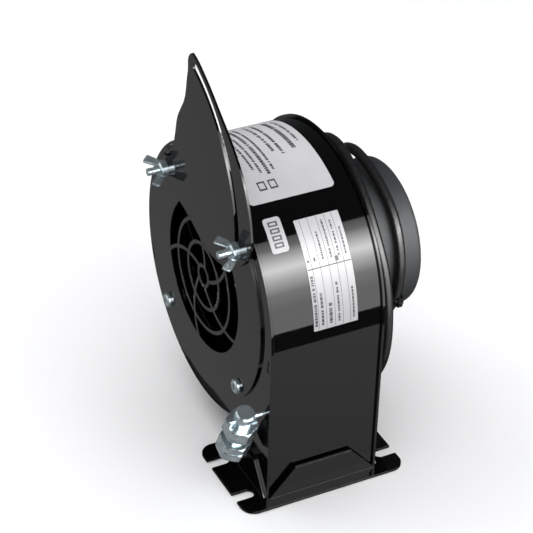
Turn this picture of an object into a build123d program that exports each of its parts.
from build123d import *
import os
from math import cos, degrees, hypot, radians, sin, sqrt

# Blower for a solid-fuel boiler, standing on its outlet flange.
# Millimetres. +Z up, +Y from the intake to the motor, +X to the right seen from the intake.
# The origin is the centre of the outlet flange's bottom face.

# ---- sheet metal casing ----
SHEET = 1.5                # casing sheet thickness
PLATE_R = 86.25            # radius of both side plates
PLATE_HALF = 26.25         # half width of the side plates along the outlet duct
RIM = 1.75                 # side plates stand this far outside the scroll band
CASE_WIDTH = 75.0          # over the outer faces of the side plates
CASE_Z = PLATE_R + 22.75   # height of the side plates' centre
TAB_ANGLES = (60, 130, 200, 280, 353)
TAB_LENGTH = 8.0
TAB_GAP = 0.4              # clearance round a band tab in its slot
TAB_RECESS = 0.3           # a tab ends this far below the plate's outer face
CASE_X = PLATE_HALF - PLATE_R
PLATE_OUT = CASE_WIDTH / 2
PLATE_IN = PLATE_OUT - SHEET
BAND_R = PLATE_R - RIM
DUCT_HALF = PLATE_HALF - RIM
DUCT_IN = DUCT_HALF - SHEET

# ---- fan axis ----
FAN_X = CASE_X - 2.5
FAN_Z = CASE_Z + 1.0
RUN_FIT = 0.05             # radial clearance of a shaft or pin that turns
SLIDE_FIT = 0.15           # radial clearance of a loose fit

# ---- outlet flange ----
FLANGE_X = 70.0
FLANGE_Y = 110.0
FLANGE_CORNER = 9.0
SLOT_PITCH = 35.0
SLOT_WIDTH = 7.5
SLOT_DEPTH = 13.0
UPSTAND_H = 20.5
UPSTAND_TOP_X = 38.0       # length of the top edge on the two wide sides
UPSTAND_TOP_Y = 22.0       # length of the top edge on the two narrow sides

# ---- intake cover and damper ----
COVER_R = 77.5
COVER_T = 1.5
INTAKE_R = 48.25
FRONT_HOLE_R = 64.0
BOLT_R = 70.0              # bolt circle of the intake cover
GRILLE_RINGS = (21.5, 36.0)
GRILLE_HUB_R = 6.75
GRILLE_BAR = 2.4
GRILLE_ARMS = 5
GRILLE_ARM_TURN = (143.0, 166.5, 191.5)   # the first arm's angles at hub, first ring and rim
M5 = 5.0
M5_HEAD_R = 4.75
M5_HEAD_H = 2.9
M5_NUT_R = 4.0
STUD_LENGTH = 15.0         # stud length in front of the cover
DAMPER_T = 1.5
DAMPER_CORNER = 9.5
DAMPER_SLOT = 5.6
DAMPER_TURN = 64.0
# Edge of the damper leaf about its pivot stud, clockwise from the pivot.
DAMPER_LEFT = ((0.4, 9.5), (12, 24.5), (14.5, 35), (17, 45), (22, 54), (27, 63), (29.5, 74), (31, 82), (31.5, 89))
DAMPER_TIP = (32.5, 93.5)
DAMPER_RIGHT = ((36.5, 97.5), (45, 94.5), (54, 89.5), (64, 83), (74.5, 75.5), (84.5, 68.5), (94, 60.5), (104, 50),
                (111, 37), (114.5, 27), (116.5, 17), (115.5, 7))
DAMPER_LOW = ((112, 1), (104, -7.5), (92, -16.5), (79, -22), (64, -23.5), (50, -21), (34, -15), (21, -11.5),
              (0, -9.5))
WING_TURNS = (148.0, 139.0)
WASHER_T = 1.0
WASHER_R = 5.0
WING_BASE_R = 5.5
WING_BASE_H = 5.0
WING_T = 1.9
WING_OUTLINE = ((2.8, 1.0), (5.0, 1.0), (11.2, 8.2), (7.8, 12.4), (3.0, 5.0))   # distance out and height

# ---- flap and counterweight ----
AXLE_R = 1.5
AXLE_HOOK = 3.0            # length of the bent end in front of the bolt
AXLE_X = 20.0
AXLE_Z = 63.0
FLAP_T = 1.0
FLAP_SIDE_GAP = 1.0
FLAP_LENGTH = 43.0
FLAP_REST = 272.5          # direction of the hanging flap seen from the intake
BOLT_LEAN = 23.5           # the counterweight bolt leans this far from vertical
BOLT_Y = -PLATE_OUT - 14.0
M12 = 12.0
M12_FLATS = 18.0
M12_NUT_H = 10.8
M12_HEAD_H = 7.5
BOLT_SHANK = 36.0
BOLT_TIP = 8.0             # bolt tip to the cross hole
M12_THIN_NUT_H = 6.0
LOCK_NUT_S = 11.5          # bolt tip to the locking nut
ADJUST_NUT_S = 29.5        # bolt tip to the adjusting nut

# ---- impeller ----
IMPELLER_R = 59.0
IMPELLER_EYE_R = 47.0
BLADE_IN_R = 36.0
BLADE_OUT_R = 58.0
BLADE_T = 1.2
BLADES = 10
BLADE_SWEEP = 34.0         # a blade's outer end lags its inner end by this angle
BLADE_BOW = 12.0           # lag at mid height
IMPELLER_FRONT = -PLATE_IN + 6.0
IMPELLER_BACK = PLATE_IN - 14.0
IMPELLER_T = 1.5
HUB_R = 13.0
HUB_H = 20.0
SHAFT_R = 4.0

# ---- motor ----
MOTOR_OPENING_R = 22.0     # opening in the rear side plate
MOTOR_COVER_R = 47.5
MOTOR_COVER_WALL = 2.0
MOTOR_COVER_DEPTH = 50.0
MOTOR_COVER_EDGE = 3.5
BOSS_CIRCLE_R = MOTOR_COVER_R - 5.7
BOSS_R = 4.0
BOSS_H = 9.0
BRACKET_R = 37.0
BRACKET_T = 2.5
BEARING_R = 11.0
BEARING_W = 7.0
BEARING_WALL = 3.0
STATOR_R = 37.0
STATOR_BORE_R = 23.0
STATOR_L = 20.0
AIR_GAP = 0.4
WINDING_L = 5.0
WINDING_IN_R = 24.5
WINDING_OUT_R = 30.0
TIE_R = 33.5
M4 = 4.0
M4_HEAD_R = 3.5
M4_HEAD_H = 2.6
COOLING_R = 28.0
COOLING_W = 5.0
COOLING_BLADES = 8
VENT_WIDTH = 2.4
VENT_CIRCLES = ((12.0, 6, 6.0), (20.0, 10, 8.4), (28.0, 14, 10.8))   # radius, number and length of the slots

# ---- cord ----
CORD_D = 6.5
WIND_R = MOTOR_COVER_R + 4.8       # radius of the cord's line round the motor cover
WIND_OUT_R = MOTOR_COVER_R + 8.8   # outer radius of the winding
FRONT_WIND_Y = (PLATE_OUT + 3.0, PLATE_OUT + 18.0)   # front turns of the winding
REAR_WIND_Y = (PLATE_OUT + 27.1, PLATE_OUT + 39.0)   # rear turn of the winding
CROSSING = (150.0, 212.0)  # angles where the cord crosses from the front turns to the rear one
RELIEF_ANGLE = 200.0       # where the cord leaves the cover's outlet boss
RELIEF_TURN = 26.0
RELIEF_RIBS = 5
CORD_START_Y = PLATE_OUT + 6.5
CORD_END_Y = PLATE_OUT + 34.5
BOSS_SIZE_Y = 8.5
BOSS_SIZE_T = 11.0
LOOP_Y = (PLATE_OUT + 14.9, PLATE_OUT + 22.5)
LOOP_LINE = ((-76, 175), (-54, 167), (-35, 154), (-20, 137), (-6, 118), (0, 95), (1, 72), (-3, 50), (-15, 32),
             (-36, 23), (-60, 22), (-84, 31), (-104, 50), (-115, 78), (-118, 110), (-113, 142), (-98, 166))
PLUG_Z = (22.0, 54.0, 76.0)   # plug body bottom, body top and top of its strain relief
PLUG_SIZE = (18.0, 15.0)
PLUG_RIBS = 4
PIN_SLOT = (2.0, 4.5, 12.0)
PIN_SPOTS = ((-5.0, 1.5), (5.0, 1.5), (0.0, -2.5))
REAR_TIE_ANGLE = -20.0
COIL_TIE_ANGLE = 240.0
TIE_WIDTH = 3.6
TIE_T = 1.2

# ---- labels ----
LABEL_T = 0.2
RATING_LABEL = (61.0, 118.0, -30.5, 25.0, 3.0)   # angles, Y range and corner radius
NUMBER_LABEL = (40.0, 54.5, -27.3, -16.3, 2.0)
TABLE_LABEL = (5.0, 51.0, -9.0, 20.0, 0.5)



def polar(radius, angle, centre=(0.0, 0.0)):
    """Point in the XZ plane, the angle turning from +X towards +Z."""
    a = radians(angle)
    return (centre[0] + radius * cos(a), centre[1] + radius * sin(a))


# ---- places that follow from the sizes ----
COVER_FRONT = -PLATE_OUT - COVER_T
DAMPER_BACK = COVER_FRONT - WASHER_T
DAMPER_FRONT = DAMPER_BACK - DAMPER_T
FAN = (FAN_X, FAN_Z)
AXLE = (AXLE_X, AXLE_Z)
BOLT_ANGLES = (45, 135, 225, 315)
PIVOT = polar(BOLT_R, 135, FAN)
GUIDE = polar(BOLT_R, 45, FAN)
SLOT_R = hypot(GUIDE[0] - PIVOT[0], GUIDE[1] - PIVOT[1])
MOTOR_Y = PLATE_OUT
BEARING_1 = MOTOR_Y + 1.5
STATOR_1 = BEARING_1 + BEARING_W - 2.0 + WINDING_L
STATOR_2 = STATOR_1 + STATOR_L
WINDING_2 = STATOR_2 + WINDING_L
BRACKET_2 = WINDING_2 + 1.0
BRACKET_BACK = BRACKET_2 + BRACKET_T
BEARING_2 = BRACKET_BACK - BEARING_W
COOLING_1 = BRACKET_BACK + 1.2
COVER_BACK = MOTOR_Y + MOTOR_COVER_DEPTH


def slab(shape, y0, y1):
    """Extrude an XZ outline from y0 to y1."""
    low, high = min(y0, y1), max(y0, y1)
    plane = Plane(origin=(0, high, 0), x_dir=(1, 0, 0), z_dir=(0, -1, 0))
    return extrude(plane * shape, amount=high - low)


def disc(radius, y0, y1, centre=FAN):
    return slab(Pos(*centre) * Circle(radius), y0, y1)


def ring(outer, inner, y0, y1, centre=FAN):
    return slab(Pos(*centre) * (Circle(outer) - Circle(inner)), y0, y1)


def bolt_points(radius=BOLT_R, angles=BOLT_ANGLES, centre=FAN):
    return [polar(radius, a, centre) for a in angles]


def save(name, shape):
    """Write one node: a single solid, or a list of separate solids."""
    solids = shape if isinstance(shape, list) else [shape]
    flat = [s for item in solids for s in item.solids()]
    body = flat[0] if len(flat) == 1 else Compound(children=flat)
    export_step(body, f"parts/{name}.step")
    print(f"{name}: {len(flat)} solid(s), {sum(s.volume for s in flat):.0f} mm3")


# ---------------------------------------------------------------- casing

def case_outline(radius, half):
    """Round scroll with the outlet duct running straight down from its right side."""
    scroll = Pos(CASE_X, CASE_Z) * Circle(radius)
    duct = Pos(0, CASE_Z / 2) * Rectangle(2 * half, CASE_Z)
    return scroll + duct


def tab_box(angle, length, thickness, y0, y1):
    """Block along the band at an angle round the side plate's centre."""
    middle = BAND_R - SHEET / 2
    spot = Pos(*polar(middle, angle, (CASE_X, CASE_Z))) * Rot(0, 0, angle)
    return slab(spot * Rectangle(thickness, length), y0, y1)


def scroll_band():
    inner = case_outline(BAND_R - SHEET, DUCT_IN)
    open_end = Rectangle(2 * DUCT_IN, 2)
    band = slab(case_outline(BAND_R, DUCT_HALF) - inner - open_end, -PLATE_IN, PLATE_IN)
    reach = PLATE_OUT - TAB_RECESS
    for angle in TAB_ANGLES:
        band += tab_box(angle, TAB_LENGTH, SHEET, -reach, -PLATE_IN)
        band += tab_box(angle, TAB_LENGTH, SHEET, PLATE_IN, reach)
    return band


def side_plate(y0, y1):
    plate = slab(case_outline(PLATE_R, PLATE_HALF), y0, y1)
    for angle in TAB_ANGLES:
        plate -= tab_box(angle, TAB_LENGTH + 2 * TAB_GAP, SHEET + 2 * TAB_GAP, y0, y1)
    return plate - disc(AXLE_R + RUN_FIT, y0, y1, (AXLE_X, AXLE_Z))


def front_side_plate():
    plate = side_plate(-PLATE_OUT, -PLATE_IN) - disc(FRONT_HOLE_R, -PLATE_OUT, -PLATE_IN)
    for point in bolt_points():
        plate -= disc(M5_NUT_R - 0.5, -PLATE_OUT, -PLATE_IN, point)
    return plate


def rear_side_plate():
    plate = side_plate(PLATE_IN, PLATE_OUT) - disc(MOTOR_OPENING_R, PLATE_IN, PLATE_OUT)
    for point in mount_screw_points() + cover_screw_points():
        plate -= disc(M4 / 2 + SLIDE_FIT, PLATE_IN, PLATE_OUT, point)
    return plate


def rivet_nuts():
    """Threaded inserts pressed into the front side plate behind the intake cover."""
    nuts = []
    for point in bolt_points():
        body = disc(M5_NUT_R - 0.5, -PLATE_OUT, -PLATE_IN, point)
        body += disc(M5_NUT_R + 1.0, -PLATE_IN, -PLATE_IN + 7.0, point)
        nuts.append(body - disc(M5 / 2, -PLATE_OUT, -PLATE_IN + 7.0, point))
    return nuts


# ---------------------------------------------------------------- outlet flange

def upstand(base, top, thickness):
    """Trapezoid tab with its bend at the flange, before it is placed on its side."""
    outline = Polygon((-base / 2, 0), (base / 2, 0), (top / 2, UPSTAND_H), (-top / 2, UPSTAND_H), align=None)
    return extrude(Plane.XZ * outline, amount=thickness)


def outlet_flange():
    plate = Rectangle(FLANGE_X, FLANGE_Y)
    plate = fillet(plate.vertices(), FLANGE_CORNER)
    plate -= Rectangle(2 * PLATE_HALF, CASE_WIDTH)
    for sx in (-1, 1):
        for sy in (-1, 1):
            straight = SLOT_DEPTH - SLOT_WIDTH / 2
            x = sx * SLOT_PITCH / 2
            y = FLANGE_Y / 2 - straight
            plate -= Pos(x, sy * (y + straight / 2 + 1)) * Rectangle(SLOT_WIDTH, straight + 2)
            plate -= Pos(x, sy * y) * Circle(SLOT_WIDTH / 2)
    flange = extrude(plate, amount=SHEET)
    wide = upstand(CASE_WIDTH, UPSTAND_TOP_X, SHEET)
    narrow = upstand(2 * PLATE_HALF, UPSTAND_TOP_Y, SHEET)
    flange += Pos(PLATE_HALF, 0, 0) * Rot(0, 0, 90) * wide
    flange += Pos(-PLATE_HALF, 0, 0) * Rot(0, 0, -90) * wide
    flange += Pos(0, -PLATE_OUT, 0) * narrow
    flange += Pos(0, PLATE_OUT, 0) * Rot(0, 0, 180) * narrow
    return flange


# ---------------------------------------------------------------- intake cover

def grille_arm(turn):
    a0, a1, a2 = (a + turn for a in GRILLE_ARM_TURN)
    line = ThreePointArc(polar(GRILLE_HUB_R, a0), polar(GRILLE_RINGS[0], a1), polar(INTAKE_R + 1, a2))
    return trace(line, line_width=GRILLE_BAR)


def intake_cover():
    half = GRILLE_BAR / 2
    face = Circle(COVER_R) - Circle(INTAKE_R)
    for radius in (GRILLE_HUB_R,) + GRILLE_RINGS:
        face += Circle(radius + half) - Circle(radius - half)
    for i in range(GRILLE_ARMS):
        face += grille_arm(i * 360 / GRILLE_ARMS)
    for point in bolt_points(centre=(0, 0)):
        face -= Pos(*point) * Circle(M5 / 2 + SLIDE_FIT)
    return slab(Pos(*FAN) * face, COVER_FRONT, -PLATE_OUT)


def cover_screws():
    """Two pan-head screws in the lower holes of the intake cover."""
    screws = []
    for point in bolt_points(angles=(225, 315)):
        head = disc(M5_HEAD_R, COVER_FRONT - M5_HEAD_H, COVER_FRONT, point)
        edge = head.edges().filter_by(GeomType.CIRCLE).sort_by(Axis.Y)[0]
        head = fillet(edge, M5_HEAD_H * 0.6)
        slot = slab(Pos(*point) * (Rectangle(5.0, 1.0) + Rectangle(1.0, 5.0)),
                    COVER_FRONT - M5_HEAD_H, COVER_FRONT - M5_HEAD_H + 1.6)
        screws.append(head - slot + disc(M5 / 2, COVER_FRONT, -PLATE_IN + 6.0, point))
    return screws


# ---------------------------------------------------------------- damper

def damper_studs():
    studs = []
    for point in (PIVOT, GUIDE):
        studs.append(disc(M5 / 2, COVER_FRONT - STUD_LENGTH, -PLATE_IN + 6.0, point))
    return studs


def spacer_washers():
    return [ring(WASHER_R, M5 / 2 + SLIDE_FIT, DAMPER_BACK, COVER_FRONT, point) for point in (PIVOT, GUIDE)]


def damper_outline():
    """Leaf that turns about the pivot stud, which is its local origin."""
    lines = [
        Spline(*DAMPER_LEFT, tangents=[(1.0, 0.2), (0.0, 1.0)]),
        ThreePointArc(DAMPER_LEFT[-1], DAMPER_TIP, DAMPER_RIGHT[0]),
        Spline(*DAMPER_RIGHT, tangents=[(1.0, -0.2), (-0.25, -1.0)]),
        Spline(DAMPER_RIGHT[-1], *DAMPER_LOW, tangents=[(-0.25, -1.0), (-1.0, 0.0)]),
        ThreePointArc(DAMPER_LOW[-1], (-DAMPER_CORNER, 0), DAMPER_LEFT[0]),
    ]
    return make_face(Curve(children=lines).edges())


def damper_plate():
    leaf = damper_outline()
    slot_arc = ThreePointArc(polar(SLOT_R, -1.5), polar(SLOT_R, DAMPER_TURN / 2), polar(SLOT_R, DAMPER_TURN + 1.5))
    slot = trace(slot_arc, line_width=DAMPER_SLOT)
    for angle in (-1.5, DAMPER_TURN + 1.5):
        slot += Pos(*polar(SLOT_R, angle)) * Circle(DAMPER_SLOT / 2)
    leaf = leaf - slot - Circle(M5 / 2 + RUN_FIT)
    return slab(Pos(*PIVOT) * leaf, DAMPER_FRONT, DAMPER_BACK)


def wing_nut(point, turn):
    """Wing nut seated on the damper, its wings spread across the angle turn."""
    seat = DAMPER_FRONT
    base = disc(WING_BASE_R, seat - WING_BASE_H, seat, point)
    edge = base.edges().filter_by(GeomType.CIRCLE).sort_by(Axis.Y)[0]
    base = chamfer(edge, 1.0)
    nut = base - disc(M5 / 2 + RUN_FIT, seat - WING_BASE_H, seat, point)
    wing = extrude(Polygon(*WING_OUTLINE, align=None), amount=WING_T / 2, both=True)
    wing = fillet(wing.edges().filter_by(Axis.Z).sort_by(Axis.X)[-2:], 1.0)
    for half_turn in (0, 180):
        place = Location((point[0], seat, point[1])) * Rot(0, half_turn - turn, 0) * Rot(180, 0, 0)
        nut += place * wing
    return nut


# ---------------------------------------------------------------- flap and counterweight

def flap():
    half = PLATE_IN - FLAP_SIDE_GAP
    curl = ring(AXLE_R + FLAP_T, AXLE_R, -half, half, AXLE)
    blade = Pos(*AXLE) * Rot(0, 0, FLAP_REST) * Pos((AXLE_R + FLAP_LENGTH) / 2, 0) * Rectangle(
        FLAP_LENGTH - AXLE_R, FLAP_T)
    return curl + (slab(blade, -half, half) - disc(AXLE_R, -half, half, AXLE))


def flap_axle():
    """Wire axle through both side plates, its front end bent to hold the bolt."""
    front = BOLT_Y - M12 / 2 - 2.0
    wire = disc(AXLE_R, front, PLATE_OUT + 3.0, AXLE)
    elbow = Pos(AXLE_X, front, AXLE_Z) * Sphere(AXLE_R)
    hook = Pos(AXLE_X, front, AXLE_Z) * Rot(0, 180 + BOLT_LEAN, 0) * Cylinder(
        AXLE_R, AXLE_HOOK, align=(Align.CENTER, Align.CENTER, Align.MIN))
    return wire + elbow + hook


def on_bolt(shape):
    """Place a shape built along +Z from the bolt's tip, which runs down to the head."""
    lean = Rot(0, 180 + BOLT_LEAN, 0)
    return Pos(AXLE_X, BOLT_Y, AXLE_Z) * lean * Pos(0, 0, -BOLT_TIP) * shape


def hexagon(flats, height, bore=0.0, edge=1.0):
    body = extrude(RegularPolygon(flats / 2, 6, major_radius=False), amount=height)
    cone = Cylinder(flats / sqrt(3), height, align=(Align.CENTER, Align.CENTER, Align.MIN))
    body = body & chamfer(cone.edges().filter_by(GeomType.CIRCLE), edge)
    if bore:
        body -= Cylinder(bore, height, align=(Align.CENTER, Align.CENTER, Align.MIN))
    return body


def counterweight_bolt():
    shank = Cylinder(M12 / 2, BOLT_SHANK, align=(Align.CENTER, Align.CENTER, Align.MIN))
    shank = chamfer(shank.edges().filter_by(GeomType.CIRCLE).sort_by(Axis.Z)[0], 1.0)
    bolt = shank + Pos(0, 0, BOLT_SHANK) * hexagon(M12_FLATS, M12_HEAD_H)
    bolt -= Pos(0, 0, BOLT_TIP) * Rot(90, 0, 0) * Cylinder(AXLE_R, 2 * M12)
    return on_bolt(bolt)


def bolt_nut(start, height):
    return on_bolt(Pos(0, 0, start) * hexagon(M12_FLATS, height, bore=M12 / 2 + RUN_FIT))


# ---------------------------------------------------------------- impeller

def impeller_blades():
    blades = []
    middle = (BLADE_IN_R + BLADE_OUT_R) / 2
    for i in range(BLADES):
        start = i * 360 / BLADES
        line = ThreePointArc(polar(BLADE_IN_R, start), polar(middle, start - BLADE_BOW),
                             polar(BLADE_OUT_R, start - BLADE_SWEEP))
        blade = trace(line, line_width=BLADE_T)
        blades.append(slab(Pos(*FAN) * blade, IMPELLER_FRONT + IMPELLER_T, IMPELLER_BACK - IMPELLER_T))
    return blades


def impeller_hub():
    back = IMPELLER_BACK - IMPELLER_T
    return ring(HUB_R, SHAFT_R, back - HUB_H, back) - impeller_set_screw()


def impeller_set_screw():
    y = IMPELLER_BACK - IMPELLER_T - HUB_H / 2
    screw = Cylinder(M4 / 2, HUB_R - SHAFT_R - 0.5, align=(Align.CENTER, Align.CENTER, Align.MIN))
    return Pos(FAN_X, y, FAN_Z + SHAFT_R) * screw


# ---------------------------------------------------------------- motor

def mount_screw_points():
    return [polar(BRACKET_R - 5.0, a, FAN) for a in (0, 90, 180, 270)]


def cover_screw_points():
    return [polar(BOSS_CIRCLE_R, a, FAN) for a in (30, 150, 270)]


def tie_points():
    return bolt_points(TIE_R)


def bearing_housing(plate0, plate1, seat0, seat1):
    """Round end bracket with a bearing seat; the plate and the seat overlap along Y."""
    part = disc(BRACKET_R, plate0, plate1) + disc(BEARING_R + BEARING_WALL, seat0, seat1)
    return part - disc(SHAFT_R + 2.0, min(plate0, seat0), max(plate1, seat1))


def front_bracket():
    part = bearing_housing(MOTOR_Y, MOTOR_Y + BRACKET_T, MOTOR_Y, BEARING_1 + BEARING_W)
    part -= disc(BEARING_R, BEARING_1, BEARING_1 + BEARING_W)
    for point in mount_screw_points() + tie_points():
        part -= disc(M4 / 2, MOTOR_Y, MOTOR_Y + BRACKET_T, point)
    return part


def rear_bracket():
    part = bearing_housing(BRACKET_2, BRACKET_BACK, BEARING_2 - 1.0, BRACKET_BACK)
    part -= disc(BEARING_R, BEARING_2, BEARING_2 + BEARING_W)
    for point in tie_points():
        part -= disc(M4 / 2, BRACKET_2, BRACKET_BACK, point)
    return part


def bearing(y0):
    """Shielded ball bearing, shown as its outer and inner rings with the shield between."""
    y1 = y0 + BEARING_W
    body = ring(BEARING_R, SHAFT_R + RUN_FIT, y0, y1)
    for low in (y0, y1 - 0.5):
        body -= ring(BEARING_R - 2.0, SHAFT_R + 2.0, low, low + 0.5)
    return body


def stator_core():
    core = ring(STATOR_R, STATOR_BORE_R, STATOR_1, STATOR_2)
    for point in tie_points():
        core -= disc(M4 / 2, STATOR_1, STATOR_2, point)
    return core


def stator_windings():
    return [ring(WINDING_OUT_R, WINDING_IN_R, STATOR_1 - WINDING_L, STATOR_1),
            ring(WINDING_OUT_R, WINDING_IN_R, STATOR_2, WINDING_2)]


def spacer_tubes():
    """Sleeves on the tie bolts that hold the two brackets off the stator core."""
    wall = M4 / 2 + 1.2
    tubes = []
    for point in tie_points():
        tubes.append(ring(wall, M4 / 2, MOTOR_Y + BRACKET_T, STATOR_1, point))
        tubes.append(ring(wall, M4 / 2, STATOR_2, BRACKET_2, point))
    return tubes


def tie_bolts():
    bolts = []
    for point in tie_points():
        head = disc(M4_HEAD_R, BRACKET_BACK, BRACKET_BACK + M4_HEAD_H, point)
        bolts.append(head + disc(M4 / 2, MOTOR_Y, BRACKET_BACK, point))
    return bolts


def plate_screws(points, reach):
    """Screws through the rear side plate, their heads inside the casing."""
    screws = []
    for point in points:
        head = disc(M4_HEAD_R, PLATE_IN - M4_HEAD_H, PLATE_IN, point)
        screws.append(head + disc(M4 / 2, PLATE_IN, PLATE_OUT + reach, point))
    return screws


def motor_shaft():
    return disc(SHAFT_R, IMPELLER_BACK - IMPELLER_T - HUB_H - 2.0, COOLING_1 + COOLING_W)


def rotor_core():
    return ring(STATOR_BORE_R - AIR_GAP, SHAFT_R, STATOR_1, STATOR_2)


def cooling_fan():
    fan = disc(COOLING_R, COOLING_1, COOLING_1 + 1.2) + disc(SHAFT_R + 3.0, COOLING_1, COOLING_1 + COOLING_W)
    for i in range(COOLING_BLADES):
        turn = Pos(*FAN) * Rot(0, 0, i * 360 / COOLING_BLADES)
        reach = COOLING_R - SHAFT_R - 3.0
        blade = turn * Pos(SHAFT_R + 2.5 + reach / 2, 0) * Rectangle(reach, 1.4)
        fan += slab(blade, COOLING_1 + 1.0, COOLING_1 + COOLING_W)
    return fan - disc(SHAFT_R, COOLING_1, COOLING_1 + COOLING_W)


def cord_outlet_boss():
    """Moulded block on the motor cover that the cord comes out of along the winding."""
    low, high = MOTOR_COVER_R - 3.5, WIND_R + CORD_D / 2 + 1.5
    block = Pos(low, 0, 0) * Box(high - low, BOSS_SIZE_Y, BOSS_SIZE_T, align=(Align.MIN, Align.CENTER, Align.MAX))
    return Pos(FAN_X, CORD_START_Y, FAN_Z) * Rot(0, -RELIEF_ANGLE, 0) * block


def motor_cover():
    back = COVER_BACK
    shell = disc(MOTOR_COVER_R, MOTOR_Y, back)
    shell = fillet(shell.edges().filter_by(GeomType.CIRCLE).sort_by(Axis.Y)[-1], MOTOR_COVER_EDGE)
    core = disc(MOTOR_COVER_R - MOTOR_COVER_WALL, MOTOR_Y, back - MOTOR_COVER_WALL)
    core = fillet(core.edges().filter_by(GeomType.CIRCLE).sort_by(Axis.Y)[-1], MOTOR_COVER_EDGE - MOTOR_COVER_WALL)
    cover = shell - core
    for point in cover_screw_points():
        cover += disc(BOSS_R, MOTOR_Y, MOTOR_Y + BOSS_H, point) & disc(MOTOR_COVER_R - 0.5, MOTOR_Y, back)
        cover -= disc(M4 / 2, MOTOR_Y, MOTOR_Y + BOSS_H - 1.0, point)
    for radius, count, length in VENT_CIRCLES:
        for i in range(count):
            turn = i * 360 / count
            vent = Pos(*polar(radius, turn, FAN)) * Rot(0, 0, turn + 90) * SlotOverall(length, VENT_WIDTH)
            cover -= slab(vent, back - 2 * MOTOR_COVER_WALL, back)
    return cover + (cord_outlet_boss() - core)


# ---------------------------------------------------------------- cord

def sector(outer, inner, y0, y1, start, end, centre=FAN):
    """Part of a ring between two angles less than half a turn apart."""
    reach = 2 * outer
    corners = [(0, 0)] + [polar(reach, start + (end - start) * i / 3) for i in range(4)]
    wedge = Polygon(*corners, align=None)
    return slab(Pos(*centre) * ((Circle(outer) - Circle(inner)) & wedge), y0, y1)


def relief_arc(radius, start, end):
    """Round bar that follows the winding between two angles."""
    spot = polar(WIND_R, end, FAN)
    across = polar(1.0, end)
    along = polar(1.0, end + 90)
    plane = Plane(origin=(spot[0], CORD_START_Y, spot[1]), x_dir=(across[0], 0, across[1]),
                  z_dir=(along[0], 0, along[1]))
    return revolve(plane * Circle(radius), Axis((FAN_X, 0, FAN_Z), (0, 1, 0)), end - start)


def cord_strain_relief():
    """Ribbed taper that carries the cord from the outlet boss into the winding."""
    stop = RELIEF_ANGLE + RELIEF_TURN
    relief = relief_arc(CORD_D / 2 + 0.3, RELIEF_ANGLE, stop)
    pitch = RELIEF_TURN / RELIEF_RIBS
    for i in range(RELIEF_RIBS):
        start = RELIEF_ANGLE + i * pitch
        relief += relief_arc(CORD_D / 2 + 1.1 - 0.15 * i, start, start + 0.6 * pitch)
    return relief


def degrees_at(length, radius):
    """Angle that an arc of this length covers."""
    return degrees(length / radius)


def cable_tie(angle, y0, y1):
    """Flat tie drawn round a stretch of the winding."""
    half = degrees_at(TIE_WIDTH / 2, WIND_OUT_R)
    outer = sector(WIND_OUT_R + TIE_T, MOTOR_COVER_R, y0 - TIE_T, y1 + TIE_T, angle - half, angle + half)
    inner = sector(WIND_OUT_R, MOTOR_COVER_R + TIE_T, y0, y1, angle - 2 * half, angle + 2 * half)
    return outer - inner


def cable_ties():
    coil_front = CORD_START_Y + BOSS_SIZE_Y / 2 + 1.8
    return [cable_tie(REAR_TIE_ANGLE, *REAR_WIND_Y), cable_tie(COIL_TIE_ANGLE, coil_front, REAR_WIND_Y[1])]


def beside(points, distance):
    """The same closed run of points, moved sideways."""
    moved = []
    for i, (x, z) in enumerate(points):
        (x0, z0), (x1, z1) = points[i - 1], points[(i + 1) % len(points)]
        step = hypot(x1 - x0, z1 - z0)
        moved.append((x - (z1 - z0) / step * distance, z + (x1 - x0) / step * distance))
    return make_face(Wire([Spline(*moved, periodic=True)]))


def loose_loop():
    """Band along the loop that hangs away from the winding."""
    half = (LOOP_Y[1] - LOOP_Y[0]) / 2
    return slab(beside(LOOP_LINE, half) - beside(LOOP_LINE, -half), *LOOP_Y)


def power_cord_winding():
    """Outer shape of the cord wound on the motor cover with its one loose loop."""
    coil = loose_loop() + ring(WIND_OUT_R, MOTOR_COVER_R, *FRONT_WIND_Y)
    coil += sector(WIND_OUT_R, MOTOR_COVER_R, FRONT_WIND_Y[0], REAR_WIND_Y[1], *CROSSING)
    coil += ring(WIND_OUT_R, MOTOR_COVER_R, *REAR_WIND_Y)
    coil -= disc(MOTOR_COVER_R, FRONT_WIND_Y[0], REAR_WIND_Y[1])
    half = BOSS_SIZE_Y / 2
    back = RELIEF_ANGLE - degrees_at(BOSS_SIZE_T, MOTOR_COVER_R) - 1.0
    coil -= sector(WIND_OUT_R + 2, MOTOR_COVER_R, FRONT_WIND_Y[0], CORD_START_Y + half + 0.2, back,
                   RELIEF_ANGLE + RELIEF_TURN)
    for tie in cable_ties():
        coil -= tie
    return coil


def power_cord_end(winding):
    """Last straight stretch of the cord, hanging from the winding to the plug."""
    x = FAN_X - WIND_R
    tube = Pos(x, CORD_END_Y, PLUG_Z[2]) * Cylinder(CORD_D / 2, FAN_Z - PLUG_Z[2],
                                                    align=(Align.CENTER, Align.CENTER, Align.MIN))
    return (tube - winding).solids().sort_by(Axis.Z)[0]


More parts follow.
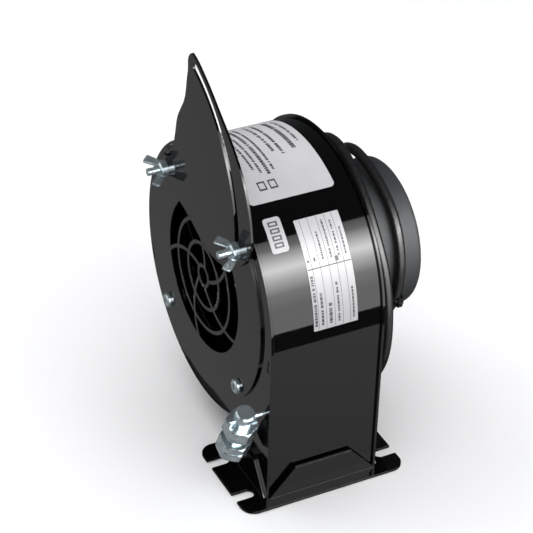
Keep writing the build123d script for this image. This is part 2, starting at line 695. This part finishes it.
def cord_plug():
    """Moulded three-pole coupler with a ribbed strain relief."""
    low, high, top = PLUG_Z
    centre = Pos(FAN_X - WIND_R, CORD_END_Y, 0)
    upward = (Align.CENTER, Align.CENTER, Align.MIN)
    neck_r = PLUG_SIZE[1] / 2 - 1.5
    outline = fillet(Rectangle(*PLUG_SIZE).vertices(), 3.0)
    body = centre * Pos(0, 0, low) * extrude(outline, amount=high - low)
    body = chamfer(body.faces().sort_by(Axis.Z)[-1].edges(), 2.0)
    for x, y in PIN_SPOTS:
        body -= centre * Pos(x, y, low) * Box(*PIN_SLOT, align=upward)
    body += centre * Pos(0, 0, high) * Cone(neck_r, CORD_D / 2 + 0.3, top - high, align=upward)
    pitch = (top - high) / (PLUG_RIBS + 1)
    for i in range(PLUG_RIBS):
        rib = Cylinder(neck_r + 0.7 - 0.75 * i, pitch / 2, align=upward)
        body += centre * Pos(0, 0, high + pitch * (i + 0.5)) * rib
    return body


# ---------------------------------------------------------------- labels

def band_label(start, end, y0, y1, corner):
    """Thin sticker that follows the scroll band."""
    label = sector(BAND_R + LABEL_T, BAND_R, y0, y1, start, end, (CASE_X, CASE_Z))
    corners = [e for e in label.edges() if e.length < 2 * LABEL_T]
    return fillet(corners, corner)


# ---------------------------------------------------------------- write every node

def impeller_back_plate():
    return ring(IMPELLER_R, SHAFT_R, IMPELLER_BACK - IMPELLER_T, IMPELLER_BACK)


def impeller_front_ring():
    return ring(IMPELLER_R, IMPELLER_EYE_R, IMPELLER_FRONT, IMPELLER_FRONT + IMPELLER_T)


def main():
    os.makedirs("parts", exist_ok=True)
    winding = power_cord_winding()
    nodes = {
        "scroll_band": scroll_band(),
        "front_side_plate": front_side_plate(),
        "rear_side_plate": rear_side_plate(),
        "outlet_flange": outlet_flange(),
        "rivet_nuts": rivet_nuts(),
        "intake_cover": intake_cover(),
        "cover_screws": cover_screws(),
        "damper_studs": damper_studs(),
        "damper_spacer_washers": spacer_washers(),
        "damper_plate": damper_plate(),
        "pivot_wing_nut": wing_nut(PIVOT, WING_TURNS[0]),
        "lock_wing_nut": wing_nut(GUIDE, WING_TURNS[1]),
        "flap": flap(),
        "flap_axle": flap_axle(),
        "counterweight_bolt": counterweight_bolt(),
        "counterweight_lock_nut": bolt_nut(LOCK_NUT_S, M12_NUT_H),
        "counterweight_adjusting_nut": bolt_nut(ADJUST_NUT_S, M12_THIN_NUT_H),
        "impeller_back_plate": impeller_back_plate(),
        "impeller_blades": impeller_blades(),
        "impeller_front_ring": impeller_front_ring(),
        "impeller_hub": impeller_hub(),
        "impeller_set_screw": impeller_set_screw(),
        "motor_shaft": motor_shaft(),
        "rotor_core": rotor_core(),
        "cooling_fan": cooling_fan(),
        "stator_core": stator_core(),
        "stator_windings": stator_windings(),
        "front_bracket": front_bracket(),
        "rear_bracket": rear_bracket(),
        "front_bearing": bearing(BEARING_1),
        "rear_bearing": bearing(BEARING_2),
        "bracket_spacer_tubes": spacer_tubes(),
        "tie_bolts": tie_bolts(),
        "motor_mount_screws": plate_screws(mount_screw_points(), BRACKET_T + 1.5),
        "motor_cover": motor_cover(),
        "motor_cover_screws": plate_screws(cover_screw_points(), BOSS_H - 2.0),
        "cord_strain_relief": cord_strain_relief(),
        "power_cord_winding": winding,
        "power_cord_end": power_cord_end(winding),
        "cord_plug": cord_plug(),
        "cable_ties": cable_ties(),
        "rating_label": band_label(*RATING_LABEL),
        "number_label": band_label(*NUMBER_LABEL),
        "table_label": band_label(*TABLE_LABEL),
    }
    for name, shape in nodes.items():
        save(name, shape)


if __name__ == "__main__":
    main()
